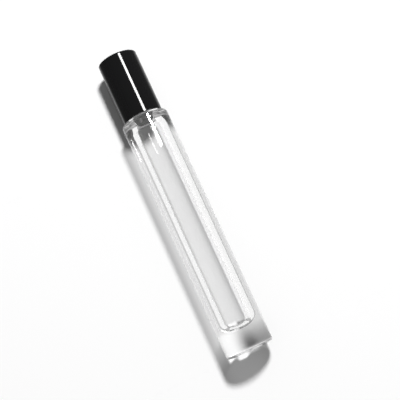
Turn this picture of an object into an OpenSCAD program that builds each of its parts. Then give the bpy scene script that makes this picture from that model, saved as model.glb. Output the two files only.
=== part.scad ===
// Roll-on bottle: a tall, thick-walled glass cylinder with a screw cap over a rolling ball.
// Millimetres, +Z up, origin at the centre of the base.

/* [Glass body] */
// Outside diameter of the glass
bottle_d = 20; // [18.5:0.1:24]
// Height of the flat shoulder
shoulder_h = 104.4; // [80:0.1:120]
// Radius of the edge round the base
base_edge_r = 1.2; // [0.5:0.1:2]
// Radius of the edge round the shoulder
shoulder_edge_r = 1.4; // [0.4:0.1:2]
// Diameter of the cavity
cavity_d = 10.6; // [9.6:0.1:13]
// Thickness of the solid base
base_t = 8.8; // [5:0.1:16]
// Radius of the cavity's lower corner
cavity_corner_r = 4.4; // [0.5:0.1:4.6]
// Diameter of the hollow under the base
push_up_d = 13; // [8:0.1:14]
// Depth of the hollow under the base
push_up_depth = 0.8; // [0.2:0.1:2]
// Depth below the shoulder at which the cavity reaches its full diameter
cavity_top_depth = 5.2; // [4:0.1:9]
// Depth below the shoulder at which the neck's bore ends
bore_end_depth = 2; // [1:0.1:3]

/* [Glass neck] */
// Height of the neck above the shoulder
neck_h = 13; // [12.5:0.1:15]
// Glass wall of the neck, without its thread
neck_wall = 1.3; // [1:0.05:1.6]
// Rounding of the rim
rim_edge_r = 0.4; // [0.1:0.05:0.5]
// Fillet between the shoulder and the neck
neck_fillet_r = 0.5; // [0.1:0.05:0.8]
// How far the bead stands out from the neck, and half its height
bead_r = 0.6; // [0.3:0.05:0.7]
// Height of the bead above the shoulder
bead_h = 2.2; // [1.5:0.1:4]

/* [Screw thread] */
// How far the neck's ridge stands out from the neck
thread_h = 0.75; // [0.5:0.05:0.9]
// Clearance between the neck's ridge and the bore of the cap
thread_clear = 0.2; // [0.1:0.05:0.3]
// Clearance between the cap's ridge and the neck
cap_thread_clear = 0.25; // [0.2:0.05:0.4]
// Rise of the thread in one turn, 12 turns to the inch
thread_pitch = 2.1167; // [1.9:0.0001:3]
// Turns of thread on the neck, and in the cap
thread_turns = 2; // [1:0.25:2.5]
// Width of both ridges, halfway between their crests
thread_w = 0.8; // [0.5:0.05:0.85]
// Slope of the ridges' sides, run for each unit of height
thread_slope = 0.45; // [0.2:0.05:0.6]
// Play between the two ridges on the side that draws the cap down
thread_play = 0.12; // [0.08:0.01:0.25]
// Depth below the rim at which the neck's thread ends
thread_top_depth = 1.5; // [1:0.1:3]

/* [Roller housing] */
// Length of the plug in the neck
plug_h = 7; // [4:0.1:9]
// Play between the plug and the neck's bore
plug_play = 0.06; // [0.02:0.01:0.15]
// How far each sealing ring presses into the bore
ring_squeeze = 0.05; // [0.02:0.01:0.1]
// Half the height of a sealing ring
ring_half_h = 0.5; // [0.3:0.05:0.8]
// Distance between the sealing rings
ring_gap = 1.9; // [1.2:0.1:2.5]
// Wall of the plug
plug_wall = 1.39; // [1:0.01:1.8]
// How far the flange on the rim is set in from the neck's outside
flange_inset = 0.05; // [0:0.05:0.3]
// Thickness of the flange
flange_t = 1; // [0.6:0.1:1.5]
// How far the head around the ball is set in from the flange
head_inset = 0.25; // [0.1:0.05:0.5]
// Wall of the head beside the ball
head_wall = 1; // [0.7:0.05:1.3]
// Height of the lip above the ball's centre
lip_h = 1.5; // [1:0.1:2]
// Thickness of the lip at its edge
lip_t = 0.35; // [0.2:0.05:0.5]
// Width of a feed groove in the seat
groove_w = 0.9; // [0.5:0.1:1.5]
// Reach of a feed groove beyond the way through the plug
groove_reach = 0.9; // [0.4:0.1:1.1]
// Play between the ball and its socket
ball_play = 0.085; // [0.04:0.005:0.15]

/* [Seal pad] */
// How far the pad's seat stands in from the bore of the cap
pad_seat_step = 0.6; // [0.4:0.05:0.9]
// Thickness of the pad
pad_t = 1.3; // [1:0.1:2]
// Depth of the dimple that sits over the ball
dimple_depth = 0.55; // [0.3:0.05:0.8]
// Play between the pad and the ball
pad_ball_play = 0.1; // [0.05:0.01:0.3]
// Play around and above the pad in its seat
pad_play = 0.15; // [0.1:0.01:0.25]

/* [Cap liner] */
// Wall of the liner around the neck
liner_wall = 1.15; // [0.8:0.05:1.4]
// Play between the liner and the shell, which the grip ribs bridge
liner_play = 0.2; // [0.1:0.05:0.4]
// How far the liner's lower edge is set back inside the shell
liner_setback = 0.6; // [0.3:0.1:1.5]
// Number of ribs that grip the shell
grip_ribs = 16; // [8:1:24]
// Width of a grip rib
grip_rib_w = 0.7; // [0.4:0.1:1.2]
// How far each grip rib presses into the shell
grip_squeeze = 0.03; // [0.01:0.01:0.1]
// Height of the lead-in at each end of a grip rib
grip_lead_h = 1.2; // [0.5:0.1:3]
// Radius of the ring that keeps the pad in
keeper_r = 0.4; // [0.3:0.05:0.45]
// Thickness of the ceiling above the pad
ceiling_t = 1; // [0.6:0.1:1.5]
// Wall of the liner above its ceiling
upper_wall_t = 1; // [0.6:0.1:1.5]
// Number of webs above the ceiling
web_count = 6; // [3:1:8]
// Thickness of a web
web_t = 0.8; // [0.5:0.1:1.2]

/* [Cap shell] */
// Outside diameter of the shell
cap_d = 16.9; // [15.5:0.1:18.5]
// Height of the shell
cap_h = 28; // [26.5:0.1:32]
// Gap between the shell and the shoulder
cap_gap = 0.4; // [0.2:0.1:1]
// Wall of the shell
shell_t = 0.4; // [0.3:0.05:0.45]
// Radius of the shell's upper edge
cap_edge_r = 0.8; // [0.5:0.1:1.5]

/* [Hidden] */

// Fineness of a round outline, of a quarter turn in a profile, and of one turn of thread
$fn = 96;
arc_steps = 6;
thread_steps = 36;
// How far a cut runs past what it cuts, and how deep a ridge or rib is rooted in its wall
overrun = 0.5;
root_depth = 0.3;
// Share of a turn over which a thread ridge rises to its full height
fade_share = 0.12;
// Where along its radius the dome of the hollow under the base has its points
dome_shares = [0, 0.25, 0.5, 0.75, 1];
// Rings on the plug and grooves in the seat
ring_count = 3;
groove_count = 4;

bottle_r = bottle_d / 2;
cavity_r = cavity_d / 2;
push_up_r = push_up_d / 2;
rim_z = shoulder_h + neck_h;

// From the cap's outside inwards: shell, liner, the two threads, neck and bore
cap_r = cap_d / 2;
shell_inner_r = cap_r - shell_t;
grip_r = shell_inner_r + grip_squeeze;
liner_r = shell_inner_r - liner_play;
upper_inner_r = liner_r - upper_wall_t;
cap_bore_r = liner_r - liner_wall;
thread_r = cap_bore_r - thread_clear;
neck_r = thread_r - thread_h;
cap_thread_r = neck_r + cap_thread_clear;
thread_mid_r = (thread_r + cap_thread_r) / 2;
thread_z = rim_z - thread_top_depth - thread_turns * thread_pitch;
bore_r = neck_r - neck_wall;

// The housing in and on the neck, and the ball that fills it. The socket meets the way through the
// plug level with the rim.
plug_r = bore_r - plug_play;
ring_r = bore_r + ring_squeeze;
feed_r = plug_r - plug_wall;
flange_r = neck_r - flange_inset;
head_r = flange_r - head_inset;
socket_r = head_r - head_wall;
ball_r = socket_r - ball_play;
ball_z = rim_z + sqrt(socket_r * socket_r - feed_r * feed_r);
lip_z = ball_z + lip_h;
lip_inner_r = sqrt(socket_r * socket_r - lip_h * lip_h);

// The pad on the ball, and its seat in the cap
pad_seat_r = cap_bore_r - pad_seat_step;
pad_r = pad_seat_r - pad_play;
pad_z = ball_z + ball_r + pad_ball_play - dimple_depth;
ceiling_z = pad_z + pad_t + pad_play;
keeper_z = pad_z - pad_play - keeper_r;
pad_seat_z = keeper_z - keeper_r;

// The cap's heights
cap_z = shoulder_h + cap_gap;
liner_z = cap_z + liner_setback;
cap_top_z = cap_z + cap_h;
shell_ceiling_z = cap_top_z - shell_t;
shell_corner_r = max(cap_edge_r - shell_t, 0);

// Points of an arc in a profile, about (cx, cz), from one angle to another
function arc(cx, cz, r, from, to) =
    [for (i = [0:arc_steps]) let (a = from + (to - from) * i / arc_steps) [cx + r * cos(a), cz + r * sin(a)]];

// Share of its full height that a ridge has at a turn: it fades in and out at its two ends
function fade(turn) = min(1, turn / fade_share, (thread_turns - turn) / fade_share);

// A screw ridge between two radii, around +Z, whose middle is at height z at its lower end.
// foot_r is where it leaves its wall, crest_r is its edge, and it is rooted root_depth inside the wall.
module ridge(foot_r, crest_r, z) {
    side = sign(crest_r - foot_r);
    steps = ceil(thread_turns * thread_steps);
    root_r = foot_r - side * root_depth;
    sunk_r = foot_r - side * root_depth / 2;
    function half_w(r) = thread_w / 2 - side * thread_slope * (r - thread_mid_r);
    sections = [for (i = [0:steps])
        let (
            turn = thread_turns * i / steps,
            a = 360 * turn,
            h = z + thread_pitch * turn,
            r = sunk_r + (crest_r - sunk_r) * max(0, fade(turn))
        )
        [for (p = [[root_r, -half_w(root_r)], [r, -half_w(r)], [r, half_w(r)], [root_r, half_w(root_r)]])
            [p[0] * cos(a), p[0] * sin(a), h + p[1]]]];
    corners = len(sections[0]);
    sides = [for (i = [0:steps - 1], k = [0:corners - 1])
        let (
            a = i * corners + k,
            b = i * corners + (k + 1) % corners
        )
        each [[a, a + corners, b], [b, a + corners, b + corners]]];
    ends = [[for (k = [0:corners - 1]) k], [for (k = [1:corners]) (steps + 1) * corners - k]];
    faces = concat(sides, ends);
    // Each face is listed the other way round where the ridge stands outwards
    polyhedron(
        [for (section = sections) each section],
        side < 0 ? faces : [for (f = faces) [for (i = [1:len(f)]) f[len(f) - i]]]
    );
}

module glass_bottle() {
    color([0.86, 0.93, 0.91, 0.45]) union() {
        rotate_extrude() polygon(concat(
            [for (s = dome_shares) [push_up_r * s, push_up_depth * (1 - s * s)]],
            arc(bottle_r - base_edge_r, base_edge_r, base_edge_r, -90, 0),
            arc(bottle_r - shoulder_edge_r, shoulder_h - shoulder_edge_r, shoulder_edge_r, 0, 90),
            arc(neck_r + neck_fillet_r, shoulder_h + neck_fillet_r, neck_fillet_r, 270, 180),
            arc(neck_r, shoulder_h + bead_h, bead_r, -90, 90),
            arc(neck_r - rim_edge_r, rim_z - rim_edge_r, rim_edge_r, 0, 90),
            arc(bore_r + rim_edge_r, rim_z - rim_edge_r, rim_edge_r, 90, 180),
            [[bore_r, shoulder_h - bore_end_depth], [cavity_r, shoulder_h - cavity_top_depth]],
            arc(cavity_r - cavity_corner_r, base_t + cavity_corner_r, cavity_corner_r, 0, -90),
            [[0, base_t]]
        ));
        ridge(neck_r, thread_r, thread_z);
    }
}

module roller_housing() {
    color([0.95, 0.95, 0.93, 0.8]) difference() {
        union() {
            // Plug with its lead-in
            rotate_extrude() polygon([
                [0, rim_z - plug_h], [plug_r - ring_half_h, rim_z - plug_h],
                [plug_r, rim_z - plug_h + ring_half_h], [plug_r, rim_z], [0, rim_z]
            ]);
            // Sealing rings
            for (i = [1:ring_count])
                translate([0, 0, rim_z - plug_h + i * ring_gap])
                    rotate_extrude() polygon([
                        [0, -ring_half_h], [plug_r, -ring_half_h], [ring_r, 0], [plug_r, ring_half_h],
                        [0, ring_half_h]
                    ]);
            // Flange, and the head with its lip
            translate([0, 0, rim_z]) cylinder(h = flange_t, r = flange_r);
            rotate_extrude() polygon(concat(
                [[0, rim_z], [head_r, rim_z], [head_r, ball_z]],
                [for (p = arc(0, 0, 1, 0, 90)) [lip_inner_r + lip_t + (head_r - lip_inner_r - lip_t) * p[0],
                    ball_z + lip_h * p[1]]],
                [[0, lip_z]]
            ));
        }
        translate([0, 0, ball_z]) sphere(r = socket_r);
        translate([0, 0, rim_z - plug_h - overrun]) cylinder(h = ball_z - rim_z + plug_h + overrun, r = feed_r);
        // Feed grooves across the seat
        for (i = [0:groove_count - 1])
            rotate([0, 0, 360 * i / groove_count])
                translate([0, -groove_w / 2, rim_z + flange_t / 2])
                    cube([feed_r + groove_reach, groove_w, ball_z - rim_z - flange_t / 2]);
    }
}

module roller_ball() {
    color("silver") translate([0, 0, ball_z]) sphere(r = ball_r);
}

module seal_pad() {
    color("gainsboro") difference() {
        translate([0, 0, pad_z]) cylinder(h = pad_t, r = pad_r);
        translate([0, 0, ball_z]) sphere(r = ball_r + pad_ball_play);
    }
}

module cap_liner() {
    color([0.9, 0.9, 0.89]) union() {
        // The wall around the neck, the pad's seat with its keeper, the ceiling and the upper wall
        rotate_extrude() polygon(concat(
            [[cap_bore_r, liner_z], [liner_r, liner_z], [liner_r, shell_ceiling_z - shell_corner_r]],
            [[liner_r - shell_corner_r, shell_ceiling_z], [upper_inner_r, shell_ceiling_z]],
            [[upper_inner_r, ceiling_z + ceiling_t]],
            [[0, ceiling_z + ceiling_t], [0, ceiling_z], [pad_seat_r, ceiling_z]],
            arc(pad_seat_r, keeper_z, keeper_r, 90, 270),
            [[cap_bore_r, pad_seat_z - pad_seat_step]]
        ));
        ridge(cap_bore_r, cap_thread_r, thread_z - thread_w - thread_play);
        for (i = [0:grip_ribs - 1]) rotate([0, 0, 360 * i / grip_ribs]) grip_rib();
        for (i = [0:web_count - 1]) rotate([0, 0, 360 * i / web_count]) web();
    }
}

// A rib along the outside of the liner, tapered at both ends, that grips the shell
module grip_rib() {
    low_z = liner_z + grip_lead_h;
    high_z = shell_ceiling_z - grip_lead_h;
    rotate([90, 0, 0]) translate([0, 0, -grip_rib_w / 2]) linear_extrude(height = grip_rib_w) polygon([
        [liner_r - root_depth, low_z], [liner_r, low_z], [grip_r, low_z + grip_lead_h],
        [grip_r, high_z - grip_lead_h], [liner_r, high_z], [liner_r - root_depth, high_z]
    ]);
}

// A web above the ceiling, from the middle to the upper wall
module web() {
    translate([0, -web_t / 2, ceiling_z + ceiling_t - root_depth])
        cube([upper_inner_r + root_depth, web_t, (shell_ceiling_z - ceiling_z - ceiling_t) / 2 + root_depth]);
}

module cap_shell() {
    color([0.07, 0.07, 0.075]) rotate_extrude() polygon(concat(
        [[shell_inner_r, cap_z], [cap_r, cap_z]],
        arc(cap_r - cap_edge_r, cap_top_z - cap_edge_r, cap_edge_r, 0, 90),
        [[0, cap_top_z], [0, shell_ceiling_z]],
        arc(shell_inner_r - shell_corner_r, shell_ceiling_z - shell_corner_r, shell_corner_r, 90, 0)
    ));
}

glass_bottle();
roller_housing();
roller_ball();
seal_pad();
cap_liner();
cap_shell();
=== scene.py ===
"""Roll-on bottle: finished pieces, finishes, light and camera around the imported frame.

Metres, +Z from the base of the bottle to its cap, origin at the centre of the base. Sizes in
the classes are millimetres and become metres where a mesh or a light is made.
"""
import logging
import math
from dataclasses import dataclass
from enum import Enum

import bmesh
import bpy
from mathutils import Matrix, Vector, noise

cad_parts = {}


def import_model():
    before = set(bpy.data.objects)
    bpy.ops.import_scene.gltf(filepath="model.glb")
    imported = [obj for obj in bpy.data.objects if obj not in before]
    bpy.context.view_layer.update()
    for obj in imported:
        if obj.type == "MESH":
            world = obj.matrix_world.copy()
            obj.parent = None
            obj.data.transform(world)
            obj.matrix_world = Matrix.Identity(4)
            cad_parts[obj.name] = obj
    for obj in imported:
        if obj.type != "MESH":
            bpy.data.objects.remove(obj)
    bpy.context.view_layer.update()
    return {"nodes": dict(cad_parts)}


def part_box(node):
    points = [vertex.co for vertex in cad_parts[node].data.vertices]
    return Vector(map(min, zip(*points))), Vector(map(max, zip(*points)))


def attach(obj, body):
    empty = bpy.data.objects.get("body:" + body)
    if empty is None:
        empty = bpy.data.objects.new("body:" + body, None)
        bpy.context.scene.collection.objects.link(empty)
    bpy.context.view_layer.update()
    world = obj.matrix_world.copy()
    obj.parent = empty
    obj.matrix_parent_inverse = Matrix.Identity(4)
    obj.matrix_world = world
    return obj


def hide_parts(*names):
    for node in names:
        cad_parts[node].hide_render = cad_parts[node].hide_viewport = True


MM = 0.001
LOG = logging.getLogger("roll_on_bottle")


class Slot(Enum):
    """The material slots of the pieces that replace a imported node."""

    GLASS = "glass"
    HOUSING = "housing"
    PAD = "pad"
    SHELL = "shell"


class Body(Enum):
    """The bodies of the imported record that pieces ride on."""

    BOTTLE = "bottle"
    SEAL = "seal"
    CAP = "cap"


@dataclass(frozen=True)
class Corner:
    """One corner of a turned outline, in millimetres.

    Attributes:
        r: Distance from the axis.
        z: Height.
        rounding: Radius that rounds the corner, or 0 where it stays sharp.
    """

    r: float
    z: float
    rounding: float = 0.0

    def reach(self, before: "Corner", after: "Corner") -> float:
        """How far the rounding reaches along the two sides that meet here.

        Args:
            before: The corner before this one.
            after: The corner after it.

        Returns:
            The reach, in millimetres.
        """
        back = Vector((before.r - self.r, before.z - self.z))
        on = Vector((after.r - self.r, after.z - self.z))
        return self.rounding * math.tan((math.pi - back.angle(on)) / 2)


def arc(centre_z: float, radius: float, start: float, end: float, count: int = 12) -> list[Corner]:
    """Corners along an arc about a point of the axis.

    Args:
        centre_z: Height of the arc's centre.
        radius: Its radius.
        start: Angle of the first corner, in degrees above the horizontal.
        end: Angle of the last corner.
        count: How many steps the arc has.

    Returns:
        The corners, from start to end.
    """
    angles = [math.radians(start + (end - start) * i / count) for i in range(count + 1)]
    return [Corner(radius * math.cos(a), centre_z + radius * math.sin(a)) for a in angles]


class Lathe:
    """Turns outlines about the bottle's axis."""

    steps = 192
    round_segments = 6
    merge_distance = 1e-7

    @classmethod
    def turn(cls, corners: list[Corner]) -> bmesh.types.BMesh:
        """Turns an outline that starts and ends on the axis, or else meets itself.

        Args:
            corners: The outline's corners in order.

        Returns:
            The turned mesh, closed, with its faces outwards.
        """
        bm = bmesh.new()
        verts = [bm.verts.new((c.r * MM, 0, c.z * MM)) for c in corners]
        for start, end in zip(verts, verts[1:]):
            bm.edges.new((start, end))
        if corners[0].r > 0:
            bm.edges.new((verts[-1], verts[0]))
        for i, corner in enumerate(corners):
            if corner.rounding > 0:
                reach = corner.reach(corners[i - 1], corners[(i + 1) % len(corners)])
                bmesh.ops.bevel(
                    bm, geom=[verts[i]], offset=reach * MM, segments=cls.round_segments,
                    profile=0.5, affect="VERTICES", material=-1,
                )
        bmesh.ops.spin(
            bm, geom=bm.verts[:] + bm.edges[:], cent=(0, 0, 0), axis=(0, 0, 1),
            angle=2 * math.pi, steps=cls.steps, use_merge=True,
        )
        bmesh.ops.remove_doubles(bm, verts=bm.verts[:], dist=cls.merge_distance)
        bmesh.ops.recalc_face_normals(bm, faces=bm.faces[:])
        return bm

    @staticmethod
    def split_wall(bm: bmesh.types.BMesh, radius: float, low: float, high: float, cuts: int) -> list:
        """Divides an upright wall into rings, so that it can take a finer form.

        Args:
            bm: The turned mesh.
            radius: The wall's radius, in millimetres.
            low: Height above which its edges count.
            high: Height below which they count.
            cuts: How many rings are added.

        Returns:
            The vertices of the divided wall between the two heights.
        """
        slack = 0.01 * MM

        def on_wall(vert: bmesh.types.BMVert) -> bool:
            """Whether a vertex lies on the wall."""
            return (
                abs(vert.co.xy.length - radius * MM) < slack
                and low * MM - slack < vert.co.z < high * MM + slack
            )

        upright = [
            edge for edge in bm.edges
            if all(on_wall(v) for v in edge.verts)
            and (edge.verts[0].co - edge.verts[1].co).xy.length < slack
        ]
        bmesh.ops.subdivide_edges(bm, edges=upright, cuts=cuts, use_grid_fill=True)
        return [vert for vert in bm.verts if on_wall(vert)]


class Workshop:
    """Makes finished objects of turned meshes."""

    sharp_angle = math.radians(50)

    @classmethod
    def finish(cls, bm: bmesh.types.BMesh, name: str, material: bpy.types.Material) -> bpy.types.Object:
        """Makes a smooth-shaded object of a mesh.

        Args:
            bm: The mesh, which is freed.
            name: The piece's name.
            material: Its finish.

        Returns:
            The object, at the origin.
        """
        mesh = bpy.data.meshes.new(name)
        bm.to_mesh(mesh)
        bm.free()
        mesh.shade_smooth()
        mesh.set_sharp_from_angle(angle=cls.sharp_angle)
        mesh.materials.append(material)
        piece = bpy.data.objects.new(name, mesh)
        bpy.context.scene.collection.objects.link(piece)
        shading = piece.modifiers.new("even_shading", "WEIGHTED_NORMAL")
        shading.keep_sharp = True
        return piece

    @staticmethod
    def fit(piece: bpy.types.Object, body: Body, slot: Slot, node: str) -> bpy.types.Object:
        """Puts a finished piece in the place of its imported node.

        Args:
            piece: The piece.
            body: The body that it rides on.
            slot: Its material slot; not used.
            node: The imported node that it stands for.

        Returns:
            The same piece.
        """
        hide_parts(node)
        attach(piece, body.value)
        LOG.info("%s stands for %s and rides on %s", piece.name, node, body.value)
        return piece

    @staticmethod
    def dress(node: bpy.types.Object, material: bpy.types.Material) -> bpy.types.Object:
        """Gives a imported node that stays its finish.

        Args:
            node: The node's object.
            material: Its finish.

        Returns:
            The same object.
        """
        for slot in node.material_slots:
            slot.material = material
        LOG.info("%s keeps its packed form", node.name)
        return node


class Nodes:
    """Adds nodes to one tree and joins them."""

    def __init__(self, tree: bpy.types.NodeTree) -> None:
        """Holds the tree.

        Args:
            tree: The tree that the nodes are added to.
        """
        self.tree = tree

    def add(self, kind: str, settings: dict | None = None, **values: object) -> bpy.types.Node:
        """Adds one node.

        Args:
            kind: The node's type.
            settings: Properties of the node, by name.
            **values: Its inputs by name, with _ for a space. A socket is linked, and
                anything else is set as the input's value.

        Returns:
            The node.
        """
        node = self.tree.nodes.new(kind)
        for name, value in (settings or {}).items():
            setattr(node, name, value)
        for name, value in values.items():
            self.put(node.inputs[name.replace("_", " ")], value)
        return node

    def put(self, socket: bpy.types.NodeSocket, value: object) -> None:
        """Links a socket to an input, or sets the input's value.

        Args:
            socket: The input.
            value: A socket, or the value.
        """
        if isinstance(value, bpy.types.NodeSocket):
            self.tree.links.new(value, socket)
        else:
            socket.default_value = value

    def math(self, operation: str, *values: object) -> bpy.types.NodeSocket:
        """Adds a Math node.

        Args:
            operation: Its operation.
            *values: Its inputs in order, sockets or numbers.

        Returns:
            Its output.
        """
        node = self.add("ShaderNodeMath", {"operation": operation})
        for socket, value in zip(node.inputs, values):
            self.put(socket, value)
        return node.outputs[0]

    def ramp(
        self, value: bpy.types.NodeSocket, start: float, end: float, low: float, high: float
    ) -> bpy.types.NodeSocket:
        """Runs smoothly from one value to another.

        Args:
            value: What is followed.
            start: Where the run starts.
            end: Where it ends.
            low: The value up to start.
            high: The value from end on.

        Returns:
            The result.
        """
        node = self.add("ShaderNodeMapRange", {"interpolation_type": "SMOOTHSTEP"})
        for socket, number in zip(node.inputs, (value, start, end, low, high)):
            self.put(socket, number)
        return node.outputs[0]

    def axes(self, vector: bpy.types.NodeSocket) -> dict[str, bpy.types.NodeSocket]:
        """Splits a vector into its X, Y and Z."""
        outputs = self.add("ShaderNodeSeparateXYZ", Vector=vector).outputs
        return {axis: outputs[axis] for axis in "XYZ"}

    def mix_shader(
        self, share: bpy.types.NodeSocket, first: bpy.types.NodeSocket, second: bpy.types.NodeSocket
    ) -> bpy.types.NodeSocket:
        """Mixes two shaders.

        Args:
            share: The second shader's share.
            first: The first shader.
            second: The second shader.

        Returns:
            The mixed shader.
        """
        node = self.add("ShaderNodeMixShader", Fac=share)
        self.put(node.inputs[1], first)
        self.put(node.inputs[2], second)
        return node.outputs[0]


class Effects:
    """Shader node groups that several finishes share, each built once."""

    smudge_scale = 160.0
    smudge_range = (0.45, 0.75)
    hairline_scale = 2600.0
    hairline_stretch = (1.0, 1.0, 0.06)
    hairline_range = (0.6, 0.72)
    hairline_share = 0.6
    coarse_scale_share = 0.2
    wear_scale = 900.0
    wear_range = (0.55, 0.95)

    @staticmethod
    def _new(name: str, inputs: dict[str, float | None], output: str) -> tuple[bpy.types.NodeTree, Nodes]:
        """Starts a group.

        Args:
            name: The group's name.
            inputs: Its number inputs with their first values, and None for a vector.
            output: Its one number output.

        Returns:
            The group's tree, and a helper for it.
        """
        tree = bpy.data.node_groups.new(name, "ShaderNodeTree")
        for label, value in inputs.items():
            kind = "NodeSocketVector" if value is None else "NodeSocketFloat"
            socket = tree.interface.new_socket(name=label, in_out="INPUT", socket_type=kind)
            if value is not None:
                socket.default_value = value
        tree.interface.new_socket(name=output, in_out="OUTPUT", socket_type="NodeSocketFloat")
        return tree, Nodes(tree)

    @classmethod
    def handling(cls) -> bpy.types.NodeTree:
        """Soft smudges and fine hairlines that change a polished surface's roughness.

        Returns:
            The group, from Vector, Clean and Marked to Roughness.
        """
        found = bpy.data.node_groups.get("handling_marks")
        if found:
            return found
        tree, nodes = cls._new("handling_marks", {"Vector": None, "Clean": 0.1, "Marked": 0.2}, "Roughness")
        start = nodes.add("NodeGroupInput")
        smudge = nodes.add(
            "ShaderNodeTexNoise", Vector=start.outputs["Vector"], Scale=cls.smudge_scale,
            Detail=4.0, Roughness=0.6,
        )
        stretched = nodes.add(
            "ShaderNodeMapping", Vector=start.outputs["Vector"], Scale=cls.hairline_stretch,
        )
        hairline = nodes.add(
            "ShaderNodeTexNoise", Vector=stretched.outputs[0], Scale=cls.hairline_scale,
            Detail=3.0, Roughness=0.7,
        )
        smudged = nodes.ramp(smudge.outputs["Fac"], *cls.smudge_range, 0.0, 1.0)
        lined = nodes.ramp(hairline.outputs["Fac"], *cls.hairline_range, 0.0, cls.hairline_share)
        amount = nodes.math("MAXIMUM", smudged, lined)
        spread = nodes.math("SUBTRACT", start.outputs["Marked"], start.outputs["Clean"])
        level = nodes.math("MULTIPLY_ADD", amount, spread, start.outputs["Clean"])
        nodes.add("NodeGroupOutput", Roughness=level)
        return tree

    @classmethod
    def grain(cls) -> bpy.types.NodeTree:
        """The fine skin of a moulded or lacquered surface, as a height.

        Returns:
            The group, from Vector, Scale and Share to Height.
        """
        found = bpy.data.node_groups.get("skin_grain")
        if found:
            return found
        tree, nodes = cls._new("skin_grain", {"Vector": None, "Scale": 1000.0, "Share": 0.5}, "Height")
        start = nodes.add("NodeGroupInput")
        fine = nodes.add(
            "ShaderNodeTexNoise", Vector=start.outputs["Vector"], Scale=start.outputs["Scale"],
            Detail=3.0, Roughness=0.55,
        )
        coarse_scale = nodes.math("MULTIPLY", start.outputs["Scale"], cls.coarse_scale_share)
        coarse = nodes.add(
            "ShaderNodeTexNoise", Vector=start.outputs["Vector"], Scale=coarse_scale, Detail=1.0,
        )
        mixed = nodes.add(
            "ShaderNodeMix", Factor=start.outputs["Share"], A=fine.outputs["Fac"], B=coarse.outputs["Fac"],
        )
        nodes.add("NodeGroupOutput", Height=mixed.outputs["Result"])
        return tree

    @classmethod
    def rim_wear(cls) -> bpy.types.NodeTree:
        """A broken line of rubbing along a rim that lies at one height.

        Returns:
            The group, from Vector, Rim and Width to Mask.
        """
        found = bpy.data.node_groups.get("rim_wear")
        if found:
            return found
        tree, nodes = cls._new("rim_wear", {"Vector": None, "Rim": 0.0, "Width": 0.0005}, "Mask")
        start = nodes.add("NodeGroupInput")
        height = nodes.axes(start.outputs["Vector"])["Z"]
        away = nodes.math("ABSOLUTE", nodes.math("SUBTRACT", height, start.outputs["Rim"]))
        near = nodes.math("SUBTRACT", 1.0, nodes.math("DIVIDE", away, start.outputs["Width"]))
        patchy = nodes.add(
            "ShaderNodeTexNoise", Vector=start.outputs["Vector"], Scale=cls.wear_scale, Detail=4.0,
        )
        both = nodes.math("ADD", near, nodes.math("SUBTRACT", patchy.outputs["Fac"], 0.5))
        mask = nodes.ramp(both, *cls.wear_range, 0.0, 1.0)
        nodes.add("NodeGroupOutput", Mask=mask)
        return tree


class Finish:
    """What all finishes share: a material with a Principled shader and Object coordinates."""

    def start(self, name: str) -> tuple[bpy.types.Material, Nodes, bpy.types.Node, bpy.types.NodeSocket]:
        """Starts a material.

        Args:
            name: The material's name.

        Returns:
            The material, a helper for its tree, its Principled node and its Object coordinates.
        """
        material = bpy.data.materials.new(name)
        material.use_nodes = True
        nodes = Nodes(material.node_tree)
        shader = material.node_tree.nodes["Principled BSDF"]
        place = nodes.add("ShaderNodeTexCoord").outputs["Object"]
        return material, nodes, shader, place

    def group(self, nodes: Nodes, tree: bpy.types.NodeTree, **values: object) -> bpy.types.NodeSocket:
        """Places a shared group in a material.

        Args:
            nodes: The helper for the material's tree.
            tree: The group.
            **values: Its inputs by name.

        Returns:
            Its output.
        """
        return nodes.add("ShaderNodeGroup", {"node_tree": tree}, **values).outputs[0]

    def bump(self, nodes: Nodes, shader: bpy.types.Node, height: bpy.types.NodeSocket,
             strength: float, depth: float) -> None:
        """Feeds a height to a shader's normal.

        Args:
            nodes: The helper for the material's tree.
            shader: The Principled node.
            height: The height.
            strength: The bump's strength.
            depth: Its depth, in millimetres.
        """
        node = nodes.add("ShaderNodeBump", Strength=strength, Distance=depth * MM, Height=height)
        nodes.put(shader.inputs["Normal"], node.outputs["Normal"])

    def two_tone(self, nodes: Nodes, shader: bpy.types.Node, share: bpy.types.NodeSocket,
                 first: tuple[float, float, float], second: tuple[float, float, float]) -> None:
        """Feeds a mix of two colours to a shader's base colour.

        Args:
            nodes: The helper for the material's tree.
            shader: The Principled node.
            share: The second colour's share.
            first: The first colour.
            second: The second colour.
        """
        colour = nodes.add("ShaderNodeMix", {"data_type": "RGBA"})
        nodes.put(colour.inputs["Factor"], share)
        nodes.put(colour.inputs[6], (*first, 1.0))
        nodes.put(colour.inputs[7], (*second, 1.0))
        nodes.put(shader.inputs["Base Color"], colour.outputs[2])


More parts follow.
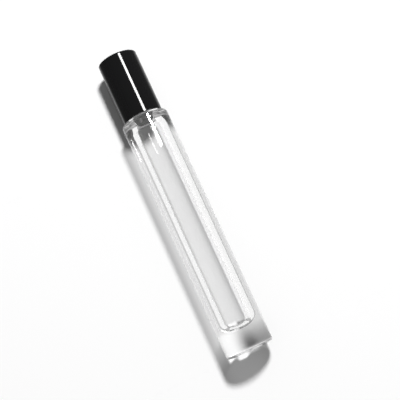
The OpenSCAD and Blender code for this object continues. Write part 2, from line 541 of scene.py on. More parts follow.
@dataclass(frozen=True)
class ClearGlass(Finish):
    """Clear flint glass. Light that passes it to the surface behind is dimmed where real glass
    bends it away: at the sides of the cylinder, through the flat shoulder and base, and to one
    side of the solid base, which gathers it to the other. These shares were set for the
    one direction of the studio's key light, and another light needs others."""

    ior: float = 1.52
    clean: float = 0.0
    marked: float = 0.012
    ripple_scale: float = 90.0
    ripple_coarse: float = 0.5
    ripple_strength: float = 0.3
    ripple_depth: float = 0.03
    straight_pass: float = 0.925
    edge_pass: float = 0.66
    edge_facing: tuple[float, float] = (0.05, 0.6)
    wall_pass: float = 1.0
    wall_rough: float = 0.0
    wall_r: tuple[float, float] = (7.0, 8.0)
    flat_share: tuple[float, float] = (0.3, 0.75)
    base_pass: float = 0.21
    spill_pass: tuple[float, float] = (1.2, 0.5)
    spill_y: tuple[float, float] = (7.3, 8.8)
    spill_soft: float = 0.7
    base_z: tuple[float, float] = (1.5, 3.0)
    shoulder_pass: float = 0.5
    shoulder_z: tuple[float, float] = (99.0, 102.0)
    solid_z: tuple[float, float] = (9.0, 12.0)
    lit_pass: float = 1.2
    lit_x: tuple[float, float] = (-6.5, -4.0)
    beside_pass: tuple[float, float] = (0.15, 0.62)
    beside_z: tuple[float, float] = (0.0, 13.0)
    corner_pass: float = 1.7
    corner_y: tuple[float, float] = (5.3, 6.5)
    corner_z: tuple[float, float] = (0.6, 2.2)
    # Painted light: the glow that deep light paths end in, see material().
    painted_glow_depth: float = 5.5
    painted_glow_level: tuple[float, float] = (0.5, 0.17)
    painted_glow_z: tuple[float, float] = (30.0, 75.0)
    dark_low_pass: tuple[float, float] = (0.13, 0.32)
    dark_low_x: tuple[float, float] = (0.5, 1.7)
    dark_high_pass: float = 0.88
    dark_z: tuple[float, float] = (2.0, 12.8)
    dark_x: tuple[float, float] = (-1.9, 0.15)

    def material(self) -> bpy.types.Material:
        """Builds the material.

        Returns:
            The material.
        """
        material, nodes, shader, place = self.start("clear_glass")
        shader.inputs["Base Color"].default_value = (1.0, 1.0, 1.0, 1.0)
        shader.inputs["Transmission Weight"].default_value = 1.0
        shader.inputs["IOR"].default_value = self.ior
        xyz = nodes.axes(place)
        radius = nodes.math("SQRT", nodes.math("ADD", *(nodes.math("POWER", xyz[a], 2.0) for a in "XY")))
        outside = nodes.ramp(radius, *self.metres(self.wall_r), 0.0, 1.0)
        rough = self.group(nodes, Effects.handling(), Vector=place, Clean=self.clean, Marked=self.marked)
        nodes.put(shader.inputs["Roughness"], self.blend(nodes, outside, self.wall_rough, rough))
        ripple = self.group(
            nodes, Effects.grain(), Vector=place, Scale=self.ripple_scale, Share=self.ripple_coarse,
        )
        self.bump(nodes, shader, ripple, self.ripple_strength, self.ripple_depth)
        clear = nodes.add("ShaderNodeBsdfTransparent", Color=self.passed(nodes, xyz, outside)).outputs[0]
        path = nodes.add("ShaderNodeLightPath").outputs
        mixed = shader.outputs[0]
        for flag in ("Is Shadow Ray", "Is Diffuse Ray"):
            mixed = nodes.mix_shader(path[flag], mixed, clear)
        # Painted light: a path that has bounced more than the set depth ends in a glow from the glass,
        # brighter towards the base, in place of the light that real glass pipes along its walls.
        painted_glow_level = nodes.ramp(xyz["Z"], *self.metres(self.painted_glow_z), *self.painted_glow_level)
        painted_glow = nodes.add("ShaderNodeEmission", Strength=painted_glow_level).outputs[0]
        long_path = nodes.math("GREATER_THAN", path["Ray Depth"], self.painted_glow_depth)
        ended = nodes.mix_shader(long_path, mixed, painted_glow)
        nodes.put(material.node_tree.nodes["Material Output"].inputs["Surface"], ended)
        return material

    def passed(self, nodes: Nodes, xyz: dict[str, bpy.types.NodeSocket],
               outside: bpy.types.NodeSocket) -> bpy.types.NodeSocket:
        """How much light goes on through each surface of the glass.

        Args:
            nodes: The helper for the material's tree.
            xyz: The Object coordinates, one by one.
            outside: 1 on the outside of the body, and 0 on the wall of the cavity.

        Returns:
            The share, as a grey colour.
        """
        geometry = nodes.add("ShaderNodeNewGeometry").outputs
        upright = nodes.axes(geometry["True Normal"])["Z"]
        flat = nodes.ramp(nodes.math("ABSOLUTE", upright), *self.flat_share, 0.0, 1.0)
        low = nodes.ramp(xyz["Z"], *self.metres(self.solid_z), 1.0, 0.0)
        solid = nodes.math("MULTIPLY", low, nodes.math("SUBTRACT", 1.0, geometry["Backfacing"]))
        dark = nodes.ramp(xyz["X"], *self.metres(self.dark_x), 0.0, 1.0)
        inside = nodes.ramp(xyz["X"], *self.metres(self.lit_x), 0.0, 1.0)
        # Painted light: the shares above 1 (lit_pass, corner_pass, spill_pass) let more light through than
        # reaches the glass, painted pools of light behind the base where real glass focuses it.
        gathered = self.gathered(nodes, xyz, dark, inside)
        walls = self.blend(nodes, solid, self.side(nodes, outside), gathered)
        through = self.blend(nodes, flat, walls, self.flats(nodes, xyz, dark, inside))
        return nodes.add("ShaderNodeCombineColor", Red=through, Green=through, Blue=through).outputs[0]

    def side(self, nodes: Nodes, outside: bpy.types.NodeSocket) -> bpy.types.NodeSocket:
        """The share that passes the hollow body's walls, least at its two sides.

        Args:
            nodes: The helper for the material's tree.
            outside: 1 on the outside of the body, and 0 on the wall of the cavity.

        Returns:
            The share.
        """
        facing = nodes.add("ShaderNodeLayerWeight", Blend=0.5).outputs["Facing"]
        bent = nodes.ramp(facing, *self.edge_facing, self.straight_pass, self.edge_pass)
        return self.blend(nodes, outside, self.wall_pass, bent)

    def gathered(self, nodes: Nodes, xyz: dict[str, bpy.types.NodeSocket], dark: bpy.types.NodeSocket,
                 inside: bpy.types.NodeSocket) -> bpy.types.NodeSocket:
        """The share that passes the solid base's wall, which gathers light to one side.

        Args:
            nodes: The helper for the material's tree.
            xyz: The Object coordinates, one by one.
            dark: 1 on the side that the light is bent away from.
            inside: 1 away from the outermost strip of the lit side.

        Returns:
            The share.
        """
        beside = nodes.ramp(xyz["Z"], *self.metres(self.beside_z), *self.beside_pass)
        corner = nodes.math(
            "MULTIPLY",
            nodes.ramp(xyz["Y"], *self.metres(self.corner_y), 0.0, 1.0),
            nodes.ramp(xyz["Z"], *self.metres(self.corner_z), 0.0, 1.0),
        )
        beside = self.blend(nodes, corner, beside, self.corner_pass)
        lit = self.blend(nodes, inside, beside, self.lit_pass)
        low = nodes.ramp(xyz["X"], *self.metres(self.dark_low_x), *self.dark_low_pass)
        shaded = nodes.ramp(xyz["Z"], *self.metres(self.dark_z), low, self.dark_high_pass)
        return self.blend(nodes, dark, lit, shaded)

    def flats(self, nodes: Nodes, xyz: dict[str, bpy.types.NodeSocket], dark: bpy.types.NodeSocket,
              inside: bpy.types.NodeSocket) -> bpy.types.NodeSocket:
        """The share that passes the flat base and the shoulder.

        Args:
            nodes: The helper for the material's tree.
            xyz: The Object coordinates, one by one.
            dark: 1 on the side that the light is bent away from.
            inside: 1 away from the outermost strip of the lit side.

        Returns:
            The share.
        """
        middle = nodes.math("MULTIPLY", inside, nodes.math("SUBTRACT", 1.0, dark))
        spill_y, spill_y_beside = self.metres(self.spill_y)
        behind = nodes.math("SUBTRACT", xyz["Y"], self.blend(nodes, middle, spill_y_beside, spill_y))
        spill = nodes.ramp(behind, *self.metres((-self.spill_soft, self.spill_soft)), 0.0, 1.0)
        below = self.blend(nodes, spill, self.base_pass, self.blend(nodes, dark, *self.spill_pass))
        above = nodes.ramp(xyz["Z"], *self.metres(self.base_z), 0.0, 1.0)
        base = self.blend(nodes, above, below, 1.0)
        shoulder = nodes.ramp(xyz["Z"], *self.metres(self.shoulder_z), 1.0, self.shoulder_pass)
        return nodes.math("MULTIPLY", base, shoulder)

    @staticmethod
    def metres(pair: tuple[float, float]) -> tuple[float, ...]:
        """Two sizes in metres instead of millimetres."""
        return tuple(size * MM for size in pair)

    @staticmethod
    def blend(nodes: Nodes, share: object, first: object, second: object) -> bpy.types.NodeSocket:
        """Mixes two numbers.

        Args:
            nodes: The helper for the material's tree.
            share: The second number's share.
            first: The first number, a socket or a value.
            second: The second number.

        Returns:
            The mixed number.
        """
        return nodes.add("ShaderNodeMix", Factor=share, A=first, B=second).outputs["Result"]


@dataclass(frozen=True)
class BlackLacquer(Finish):
    """Black gloss lacquer over a drawn aluminium shell, rubbed a little at its two rims."""

    black: tuple[float, float, float] = (0.0075, 0.0075, 0.0078)
    rubbed: tuple[float, float, float] = (0.05, 0.05, 0.052)
    clean: float = 0.05
    marked: float = 0.12
    gloss: float = 0.25
    peel_scale: float = 420.0
    peel_coarse: float = 0.5
    peel_strength: float = 0.25
    peel_depth: float = 0.004
    wear_width: float = 0.35

    def material(self) -> bpy.types.Material:
        """Builds the material.

        Returns:
            The material.
        """
        material, nodes, shader, place = self.start("black_lacquer")
        low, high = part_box("cap_shell")
        masks = [
            self.group(nodes, Effects.rim_wear(), Vector=place, Rim=rim, Width=self.wear_width * MM)
            for rim in (low.z, high.z)
        ]
        self.two_tone(nodes, shader, nodes.math("MAXIMUM", *masks), self.black, self.rubbed)
        shader.inputs["Specular IOR Level"].default_value = self.gloss
        rough = self.group(nodes, Effects.handling(), Vector=place, Clean=self.clean, Marked=self.marked)
        nodes.put(shader.inputs["Roughness"], rough)
        peel = self.group(nodes, Effects.grain(), Vector=place, Scale=self.peel_scale, Share=self.peel_coarse)
        self.bump(nodes, shader, peel, self.peel_strength, self.peel_depth)
        return material


@dataclass(frozen=True)
class PolishedSteel(Finish):
    """The ball: polished stainless steel with faint rolling marks."""

    steel: tuple[float, float, float] = (0.62, 0.62, 0.63)
    clean: float = 0.06
    marked: float = 0.16

    def material(self) -> bpy.types.Material:
        """Builds the material.

        Returns:
            The material.
        """
        material, nodes, shader, place = self.start("polished_steel")
        shader.inputs["Base Color"].default_value = (*self.steel, 1.0)
        shader.inputs["Metallic"].default_value = 1.0
        rough = self.group(nodes, Effects.handling(), Vector=place, Clean=self.clean, Marked=self.marked)
        nodes.put(shader.inputs["Roughness"], rough)
        return material


@dataclass(frozen=True)
class MouldedPlastic(Finish):
    """A moulded plastic with a fine skin.

    Attributes:
        name: The material's name.
        colour: Its colour.
        shade: The colour of its deeper, cloudier places.
        clean: Roughness where it is untouched.
        marked: Roughness where it was handled.
        grain_scale: How fine its skin is.
        grain_depth: How deep, in millimetres.
        glow: How far light spreads inside it, from 0 to 1.
        glow_reach: The distance that it spreads, in millimetres.
        cloud_scale_share: How fine the clouding is, as a share of the skin's.
        cloud_coarse: The share of coarse grain in the clouding.
        cloud_range: Where in the grain the clouding starts and is full.
        skin_coarse: The share of coarse grain in the skin.
        skin_strength: How strongly the skin shows.
    """

    name: str
    colour: tuple[float, float, float]
    shade: tuple[float, float, float]
    clean: float
    marked: float
    grain_scale: float
    grain_depth: float
    glow: float = 0.0
    glow_reach: float = 1.0
    cloud_scale_share: float = 0.3
    cloud_coarse: float = 0.7
    cloud_range: tuple[float, float] = (0.35, 0.65)
    skin_coarse: float = 0.3
    skin_strength: float = 0.5

    def material(self) -> bpy.types.Material:
        """Builds the material.

        Returns:
            The material.
        """
        material, nodes, shader, place = self.start(self.name)
        cloud_scale = self.grain_scale * self.cloud_scale_share
        cloud = self.group(nodes, Effects.grain(), Vector=place, Scale=cloud_scale, Share=self.cloud_coarse)
        clouded = nodes.ramp(cloud, *self.cloud_range, 0.0, 1.0)
        self.two_tone(nodes, shader, clouded, self.colour, self.shade)
        rough = self.group(nodes, Effects.handling(), Vector=place, Clean=self.clean, Marked=self.marked)
        nodes.put(shader.inputs["Roughness"], rough)
        skin = self.group(
            nodes, Effects.grain(), Vector=place, Scale=self.grain_scale, Share=self.skin_coarse,
        )
        self.bump(nodes, shader, skin, self.skin_strength, self.grain_depth)
        if self.glow > 0:
            shader.inputs["Subsurface Weight"].default_value = self.glow
            shader.inputs["Subsurface Radius"].default_value = (1.0, 1.0, 1.0)
            shader.inputs["Subsurface Scale"].default_value = self.glow_reach * MM
        return material


NATURAL_POLYETHYLENE = MouldedPlastic(
    "natural_polyethylene", (0.72, 0.722, 0.715), (0.64, 0.642, 0.634), 0.3, 0.42, 1400.0, 0.006, 0.35, 1.2,
)
WHITE_POLYPROPYLENE = MouldedPlastic(
    "white_polypropylene", (0.72, 0.72, 0.715), (0.66, 0.66, 0.65), 0.32, 0.45, 1800.0, 0.01, 0.2, 0.8,
)
PALE_FOAM = MouldedPlastic(
    "pale_foam", (0.7, 0.7, 0.68), (0.6, 0.6, 0.575), 0.75, 0.9, 3200.0, 0.05, 0.2, 0.5,
)


@dataclass
class GlassBottle:
    """The bottle: body, cavity, solid base, shoulder and threaded neck in one piece of glass."""

    base_edge: float = 1.2
    shoulder_edge: float = 1.4
    cavity_r: float = 5.3
    base_t: float = 8.8
    cavity_corner: float = 4.4
    push_up_r: float = 6.5
    push_up_depth: float = 0.8
    dome_shares: tuple[float, ...] = (0.0, 0.2, 0.4, 0.6, 0.8, 1.0)
    cavity_top_depth: float = 5.2
    bore_end_depth: float = 2.0
    cavity_ease: float = 6.0
    neck_h: float = 13.0
    neck_r: float = 5.75
    bore_r: float = 4.45
    neck_fillet: float = 0.5
    rim_edge: float = 0.4
    bead_h: float = 2.2
    bead_out: float = 0.6
    bead_round: float = 0.45
    bead_fillet: float = 0.1
    thread_r: float = 6.5
    pitch: float = 2.1167
    turns: float = 2.0
    crest_half: float = 0.29
    foot_half: float = 0.63
    thread_top_depth: float = 1.5
    fade_share: float = 0.12
    neck_cuts: int = 90
    ripple_cuts: int = 60
    ripple: float = 0.05
    ripple_round: float = 90.0
    ripple_along: float = 22.0

    def __post_init__(self) -> None:
        """Takes the body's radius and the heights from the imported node."""
        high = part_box("glass_bottle")[1]
        self.body_r = high.x / MM
        self.rim_z = high.z / MM
        self.shoulder_z = self.rim_z - self.neck_h
        self.thread_z = self.rim_z - self.thread_top_depth - self.turns * self.pitch

    def outline(self) -> list[Corner]:
        """The outline of half the bottle's section, without the thread.

        Returns:
            The corners, from the middle of the base round to the floor of the cavity.
        """
        bead_z = self.shoulder_z + self.bead_h
        bead_r = self.neck_r + self.bead_out
        return [
            *[Corner(self.push_up_r * s, self.push_up_depth * (1 - s * s)) for s in self.dome_shares],
            Corner(self.body_r, 0.0, self.base_edge),
            Corner(self.body_r, self.shoulder_z, self.shoulder_edge),
            Corner(self.neck_r, self.shoulder_z, self.neck_fillet),
            Corner(self.neck_r, bead_z - self.bead_out, self.bead_fillet),
            Corner(bead_r, bead_z - self.bead_out, self.bead_round),
            Corner(bead_r, bead_z + self.bead_out, self.bead_round),
            Corner(self.neck_r, bead_z + self.bead_out, self.bead_fillet),
            Corner(self.neck_r, self.rim_z, self.rim_edge),
            Corner(self.bore_r, self.rim_z, self.rim_edge),
            Corner(self.bore_r, self.shoulder_z - self.bore_end_depth, self.cavity_ease),
            Corner(self.cavity_r, self.shoulder_z - self.cavity_top_depth, self.cavity_ease),
            Corner(self.cavity_r, self.base_t, self.cavity_corner),
            Corner(0.0, self.base_t),
        ]

    def raise_thread(self, bm: bmesh.types.BMesh) -> None:
        """Presses the screw thread out of the neck's wall.

        Args:
            bm: The turned bottle.
        """
        low = self.shoulder_z + self.bead_h + self.bead_out
        wall = Lathe.split_wall(bm, self.neck_r, low, self.rim_z, self.neck_cuts)
        for vert in wall:
            share = self.thread_share(math.atan2(vert.co.y, vert.co.x) % (2 * math.pi), vert.co.z / MM)
            out = (self.neck_r + (self.thread_r - self.neck_r) * share) / self.neck_r
            vert.co.xy *= out

    def thread_share(self, angle: float, z: float) -> float:
        """How far the thread stands out at a place of the neck.

        Args:
            angle: The angle about the axis, in radians.
            z: The height, in millimetres.

        Returns:
            The share of its full height, from 0 to 1.
        """
        best = 0.0
        for whole in range(math.ceil(self.turns)):
            turn = whole + angle / (2 * math.pi)
            away = abs(z - self.thread_z - self.pitch * turn)
            side = (self.foot_half - away) / (self.foot_half - self.crest_half)
            fade = min(turn, self.turns - turn) / self.fade_share
            share = max(0.0, min(1.0, side)) * max(0.0, min(1.0, fade))
            best = max(best, share * share * (3 - 2 * share))
        return best

    def ripple_cavity(self, bm: bmesh.types.BMesh) -> None:
        """Gives the cavity the slight unevenness that its wall has in thick glass.

        Args:
            bm: The turned bottle.
        """
        top = self.shoulder_z - self.cavity_top_depth
        low = self.base_t + self.cavity_corner
        for vert in Lathe.split_wall(bm, self.cavity_r, low, top, self.ripple_cuts):
            sample = Vector((
                vert.co.x * self.ripple_round, vert.co.y * self.ripple_round, vert.co.z * self.ripple_along,
            ))
            height = vert.co.z / MM
            ease = min(1.0, (height - low) / self.cavity_corner, (top - height) / self.cavity_corner)
            vert.co.xy *= 1 + self.ripple * noise.noise(sample) * max(0.0, ease) / self.cavity_r

    def build(self) -> list[bpy.types.Object]:
        """Builds and fits the bottle.

        Returns:
            Its one piece.
        """
        bm = Lathe.turn(self.outline())
        self.raise_thread(bm)
        self.ripple_cavity(bm)
        piece = Workshop.finish(bm, "thick_glass_bottle", ClearGlass().material())
        return [Workshop.fit(piece, Body.BOTTLE, Slot.GLASS, "glass_bottle")]


@dataclass
class RollerFitment:
    """The fitment in the neck: a moulded housing, and the steel ball that it holds."""

    bore_r: float = 3.0
    plug_r: float = 4.39
    ring_out: float = 0.11
    ring_half: float = 0.5
    ring_gap: float = 1.9
    ring_count: int = 3
    lead_in: float = 0.5
    flange_t: float = 1.0
    head_inset: float = 0.25
    ball_play: float = 0.085
    lip_t: float = 0.35
    soft_edge: float = 0.15
    flange_edge: float = 0.25
    groove_count: int = 4
    groove_half: float = 0.45
    groove_r: float = 3.9

    def __post_init__(self) -> None:
        """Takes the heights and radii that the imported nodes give."""
        low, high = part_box("roller_housing")
        ball_low, ball_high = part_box("roller_ball")
        self.plug_z = low.z / MM
        self.lip_z = high.z / MM
        self.flange_r = high.x / MM
        self.rim_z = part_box("glass_bottle")[1].z / MM
        self.ball_z = (ball_low.z + ball_high.z) / 2 / MM
        self.socket_r = (ball_high.z - ball_low.z) / 2 / MM + self.ball_play

    def outline(self) -> list[Corner]:
        """The outline of half the housing's section.

        Returns:
            The corners, from the lower end of the bore round the outside, over the lip and
            down the socket.
        """
        rings = [
            Corner(self.plug_r + out, self.plug_z + (i + 1) * self.ring_gap + up)
            for i in range(self.ring_count)
            for out, up in ((0.0, -self.ring_half), (self.ring_out, 0.0), (0.0, self.ring_half))
        ]
        head_r = self.flange_r - self.head_inset
        flange_z = self.rim_z + self.flange_t
        lip_angle = math.degrees(math.asin((self.lip_z - self.ball_z) / self.socket_r))
        seat_angle = -math.degrees(math.acos(self.bore_r / self.socket_r))
        crown = self.lip_z - self.ball_z
        edge_r = self.socket_r * math.cos(math.radians(lip_angle)) + self.lip_t
        lip = [
            Corner(edge_r + (head_r - edge_r) * c.r, self.ball_z + crown * c.z)
            for c in arc(0.0, 1.0, 0.0, 90.0, 8)
        ]
        return [
            Corner(self.bore_r, self.plug_z, self.soft_edge),
            Corner(self.plug_r - self.lead_in, self.plug_z, self.soft_edge),
            Corner(self.plug_r, self.plug_z + self.lead_in, self.soft_edge),
            *rings,
            Corner(self.plug_r, self.rim_z),
            Corner(self.flange_r, self.rim_z, self.soft_edge),
            Corner(self.flange_r, flange_z, self.flange_edge),
            Corner(head_r, flange_z, self.soft_edge),
            *lip,
            *arc(self.ball_z, self.socket_r, lip_angle, seat_angle, 24),
        ]

    def cut_grooves(self, bm: bmesh.types.BMesh) -> None:
        """Opens the feed grooves in the seat, outwards from the bore.

        Args:
            bm: The turned housing.
        """
        low = self.rim_z + self.flange_t / 2
        for vert in bm.verts:
            radius = vert.co.xy.length / MM
            height = vert.co.z / MM
            if not (self.bore_r <= radius < self.groove_r and low < height < self.ball_z):
                continue
            angle = math.atan2(vert.co.y, vert.co.x)
            sector = 2 * math.pi / self.groove_count
            across = abs(math.sin((angle + sector / 2) % sector - sector / 2)) * self.groove_r
            if across < self.groove_half:
                vert.co.xy *= self.groove_r / radius

    def build(self, ball: bpy.types.Object) -> list[bpy.types.Object]:
        """Builds and fits the housing, and dresses the ball.

        Args:
            ball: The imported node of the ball.

        Returns:
            The two pieces.
        """
        bm = Lathe.turn(self.outline())
        self.cut_grooves(bm)
        housing = Workshop.finish(bm, "plug_in_housing", NATURAL_POLYETHYLENE.material())
        Workshop.fit(housing, Body.BOTTLE, Slot.HOUSING, "roller_housing")
        return [housing, Workshop.dress(ball, PolishedSteel().material())]


@dataclass
class ScrewCap:
    """The cap: a lacquered shell over a threaded liner, with a loose sealing pad inside."""

    shell_t: float = 0.4
    top_edge: float = 0.8
    rim_edge: float = 0.12
    pad_edge: float = 0.2
    pad_ball_play: float = 0.1

    def shell_outline(self) -> list[Corner]:
        """The outline of half the shell's section.

        Returns:
            The corners, from the middle of the top round the rim to the middle of the ceiling.
        """
        low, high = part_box("cap_shell")
        outer, top, rim = high.x / MM, high.z / MM, low.z / MM
        inner, ceiling = outer - self.shell_t, top - self.shell_t
        return [
            Corner(0.0, top),
            Corner(outer, top, self.top_edge),
            Corner(outer, rim, self.rim_edge),
            Corner(inner, rim, self.rim_edge),
            Corner(inner, ceiling, self.top_edge - self.shell_t),
            Corner(0.0, ceiling),
        ]

    def pad_outline(self) -> list[Corner]:
        """The outline of half the pad's section, with its dimple over the ball.

        Returns:
            The corners, from the middle of the top to the middle of the dimple.
        """
        low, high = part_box("seal_pad")
        ball_low, ball_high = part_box("roller_ball")
        ball_z = (ball_low.z + ball_high.z) / 2 / MM
        dimple_r = (ball_high.z - ball_low.z) / 2 / MM + self.pad_ball_play
        mouth = math.degrees(math.asin((low.z / MM - ball_z) / dimple_r))
        dimple = arc(ball_z, dimple_r, mouth, 90.0)
        return [
            Corner(0.0, high.z / MM),
            Corner(high.x / MM, high.z / MM, self.pad_edge),
            Corner(high.x / MM, low.z / MM, self.pad_edge),
            *dimple[:-1],
            Corner(0.0, ball_z + dimple_r),
        ]

    def build(self, liner: bpy.types.Object) -> list[bpy.types.Object]:
        """Builds and fits the shell and the pad, and dresses the liner.

        Args:
            liner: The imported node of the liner.

        Returns:
            The three pieces.
        """
        shell_mesh = Lathe.turn(self.shell_outline())
        shell = Workshop.finish(shell_mesh, "gloss_cap_shell", BlackLacquer().material())
        Workshop.fit(shell, Body.CAP, Slot.SHELL, "cap_shell")
        pad = Workshop.finish(Lathe.turn(self.pad_outline()), "sealing_pad", PALE_FOAM.material())
        Workshop.fit(pad, Body.SEAL, Slot.PAD, "seal_pad")
        return [shell, pad, Workshop.dress(liner, WHITE_POLYPROPYLENE.material())]


@dataclass
class Studio:
    """White surfaces, one hard key light, one strip light for the highlights, and a white room.

    The bottle rests on two surfaces: it stands on a floor, and it lies against a backdrop, which
    is the surface that it lies on in the picture. Each is seen from its own side alone.
    """

    surface_half: float = 1500.0
    floor_drop: float = 0.05
    white: float = 0.93
    fade_x: tuple[float, float] = (8.0, 34.0)
    floor_white: float = 1.5
    key_place: tuple[float, float, float] = (302.0, -787.0, 441.0)
    key_level: float = 0.905
    key_radius: float = 65.0
    fill: float = 0.155
    glossy_fill: float = 0.14
    room_seen_through: float = 0.9
    backdrop_seen_through: float = 1.0
    strip_size: tuple[float, float] = (122.0, 118.0)
    strip_azimuth: float = 24.8
    strip_distance: float = 600.0
    strip_middle_z: float = 306.0
    strip_power: float = 2.8

    def backdrop(self) -> bpy.types.Object:
        """The surface behind the bottle, which the picture shows below it.

        Returns:
            The object.
        """
        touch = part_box("glass_bottle")[1].y
        turned = Matrix.Rotation(math.radians(90), 4, "X")
        surface = self.surface("backdrop", Matrix.Translation((0, touch, 0)) @ turned)
        material, nodes, matt = self.surface_material("white_backdrop", self.white, False)
        path = nodes.add("ShaderNodeLightPath").outputs
        place = nodes.add("ShaderNodeTexCoord").outputs["Object"]
        # Painted reflection: to reflections the backdrop is white near the bottle and dims to the room's
        # glossy level further to the sides.
        aside = nodes.math("ABSOLUTE", nodes.axes(place)["X"])
        fading = nodes.ramp(aside, *(edge * MM for edge in self.fade_x), 1.0, self.glossy_fill)
        share = 1.0
        for flag, value in (("Is Glossy Ray", fading), ("Is Transmission Ray", self.backdrop_seen_through)):
            share = nodes.add("ShaderNodeMix", Factor=path[flag], A=share, B=value).outputs["Result"]
        level = nodes.math("MULTIPLY", share, self.white)
        colour = nodes.add("ShaderNodeCombineColor", Red=level, Green=level, Blue=level)
        nodes.put(matt.inputs["Color"], colour.outputs[0])
        surface.data.materials.append(material)
        return surface

    def floor(self) -> bpy.types.Object:
        """The surface that the bottle stands on, seen by the camera alone.

        Returns:
            The object.
        """
        surface = self.surface("floor", Matrix.Translation((0, 0, -self.floor_drop * MM)))
        material = self.surface_material("white_floor", self.floor_white, True)[0]
        surface.data.materials.append(material)
        return surface

    def surface(self, name: str, place: Matrix) -> bpy.types.Object:
        """Makes one square surface.

        Args:
            name: Its name.
            place: Where its plane goes.

        Returns:
            The object.
        """
        bm = bmesh.new()
        bmesh.ops.create_grid(bm, x_segments=1, y_segments=1, size=self.surface_half * MM, matrix=place)
        mesh = bpy.data.meshes.new(name)
        bm.to_mesh(mesh)
        bm.free()
        surface = bpy.data.objects.new(name, mesh)
        bpy.context.scene.collection.objects.link(surface)
        return surface

    def surface_material(
        self, name: str, white: float, camera_only: bool
    ) -> tuple[bpy.types.Material, Nodes, bpy.types.Node]:
        """A matt white that is clear from behind.

        Args:
            name: The material's name.
            white: How white it is.
            camera_only: Whether it is clear to all but the camera.

        Returns:
            The material, a helper for its tree, and its matt shader.
        """
        material = bpy.data.materials.new(name)
        material.use_nodes = True
        tree = material.node_tree
        tree.nodes.remove(tree.nodes["Principled BSDF"])
        nodes = Nodes(tree)
        matt = nodes.add("ShaderNodeBsdfDiffuse", Color=(white, white, white, 1.0))
        clear = nodes.add("ShaderNodeBsdfTransparent").outputs[0]
        hidden = nodes.add("ShaderNodeNewGeometry").outputs["Backfacing"]
        if camera_only:
            seen = nodes.add("ShaderNodeLightPath").outputs["Is Camera Ray"]
            hidden = nodes.math("MAXIMUM", hidden, nodes.math("SUBTRACT", 1.0, seen))
        mixed = nodes.mix_shader(hidden, matt.outputs[0], clear)
        nodes.put(tree.nodes["Material Output"].inputs["Surface"], mixed)
        return material, nodes, matt

    def key(self) -> bpy.types.Object:
        """The hard light that casts the shadows, as even over the surface as a sun.

        Returns:
            The lamp.
        """
        place = Vector(self.key_place)
        light = bpy.data.lights.new("key", "POINT")
        light.energy = 4 * math.pi * self.key_level * math.pi * place.length / -place.y
        light.shadow_soft_size = self.key_radius * MM
        light.use_nodes = True
        nodes = Nodes(light.node_tree)
        even = nodes.add("ShaderNodeLightFalloff", Strength=1.0)
        nodes.put(light.node_tree.nodes["Emission"].inputs["Strength"], even.outputs["Constant"])
        lamp = bpy.data.objects.new("key", light)
        lamp.location = place * MM
        lamp.visible_glossy = False
        bpy.context.scene.collection.objects.link(lamp)
        return lamp

    def strip(self) -> bpy.types.Object:
        """The long narrow light whose reflection is the line along the cap and the glass.

        Returns:
            The lamp.
        """
        width, length = (side * MM for side in self.strip_size)
        light = bpy.data.lights.new("strip", "AREA")
        light.shape = "RECTANGLE"
        light.size, light.size_y = width, length
        light.energy = self.strip_power
        azimuth = math.radians(self.strip_azimuth)
        away = Vector((math.sin(azimuth), -math.cos(azimuth), 0.0))
        lamp = bpy.data.objects.new("strip", light)
        lamp.location = away * self.strip_distance * MM + Vector((0, 0, self.strip_middle_z * MM))
        lamp.rotation_euler = away.to_track_quat("Z", "Y").to_euler()
        lamp.visible_diffuse = False
        bpy.context.scene.collection.objects.link(lamp)
        return lamp

    def room(self) -> bpy.types.World:
        """A white room to the camera and through glass, and a dim one for light and reflections.

        Returns:
            The world.
        """
        world = bpy.data.worlds.new("room")
        bpy.context.scene.world = world
        world.use_nodes = True
        nodes = Nodes(world.node_tree)
        path = nodes.add("ShaderNodeLightPath").outputs
        level = self.fill
        for flag, value in (
            ("Is Glossy Ray", self.glossy_fill),
            ("Is Transmission Ray", self.room_seen_through),
            ("Is Camera Ray", 1.0),
        ):
            level = nodes.add("ShaderNodeMix", Factor=path[flag], A=level, B=value).outputs["Result"]
        nodes.put(world.node_tree.nodes["Background"].inputs["Strength"], level)
        world.node_tree.nodes["Background"].inputs["Color"].default_value = (1.0, 1.0, 1.0, 1.0)
        return world

    def build(self) -> None:
        """Builds the surfaces, the lights and the room."""
        for part in (self.backdrop(), self.floor(), self.key(), self.strip(), self.room()):
            LOG.info("studio: %s", part.name)


@dataclass
class PictureCamera:
    """The camera at the picture's own angle: square on to the bottle's side, a little below its
    middle, and turned so that the bottle leans across the frame."""

    tilt: float = 11.59
    roll: float = -24.85
    distance: float = 450.0
    target: tuple[float, float, float] = (6.87, 0.0, 63.34)
    focal_px: float = 1108.0
    frame_px: float = 400.0
    sensor: float = 36.0

    def build(self) -> bpy.types.Object:
        """Builds the camera and makes it the scene's own.

        Returns:
            The camera.
        """
        tilt, roll = math.radians(self.tilt), math.radians(self.roll)
        back = Vector((0.0, -math.cos(tilt), -math.sin(tilt)))
        right = Vector((1.0, 0.0, 0.0))
        up = right.cross(-back).normalized()
        across = math.cos(roll) * right + math.sin(roll) * up
        along = math.cos(roll) * up - math.sin(roll) * right
        data = bpy.data.cameras.new("picture_camera")
        data.sensor_width = self.sensor
        data.lens = self.focal_px * self.sensor / self.frame_px
        camera = bpy.data.objects.new("picture_camera", data)
        place = Matrix((across, along, back)).transposed().to_4x4()
        place.translation = (Vector(self.target) + back * self.distance) * MM
        camera.matrix_world = place
        bpy.context.scene.collection.objects.link(camera)
        bpy.context.scene.camera = camera
        LOG.info("camera: %.0f mm lens", data.lens)
        return camera


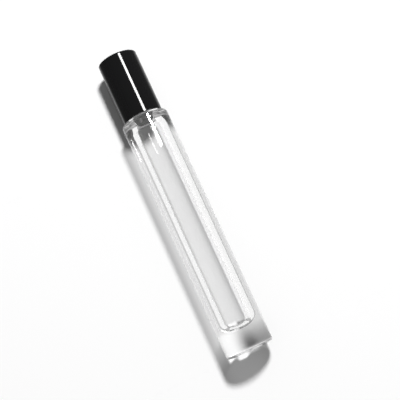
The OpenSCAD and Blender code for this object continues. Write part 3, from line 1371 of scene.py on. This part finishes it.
def main() -> None:
    """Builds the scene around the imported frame."""
    logging.basicConfig(level=logging.INFO, format="%(name)s: %(message)s")
    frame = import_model()
    nodes = frame["nodes"]
    PictureCamera().build()
    bpy.context.scene.view_settings.view_transform = "Standard"
    pieces = [
        *GlassBottle().build(),
        *RollerFitment().build(nodes["roller_ball"]),
        *ScrewCap().build(nodes["cap_liner"]),
    ]
    Studio().build()
    for piece in pieces:
        LOG.info("%s: %d faces", piece.name, len(piece.data.polygons))
    bpy.context.view_layer.update()


if __name__ == "__main__":
    main()
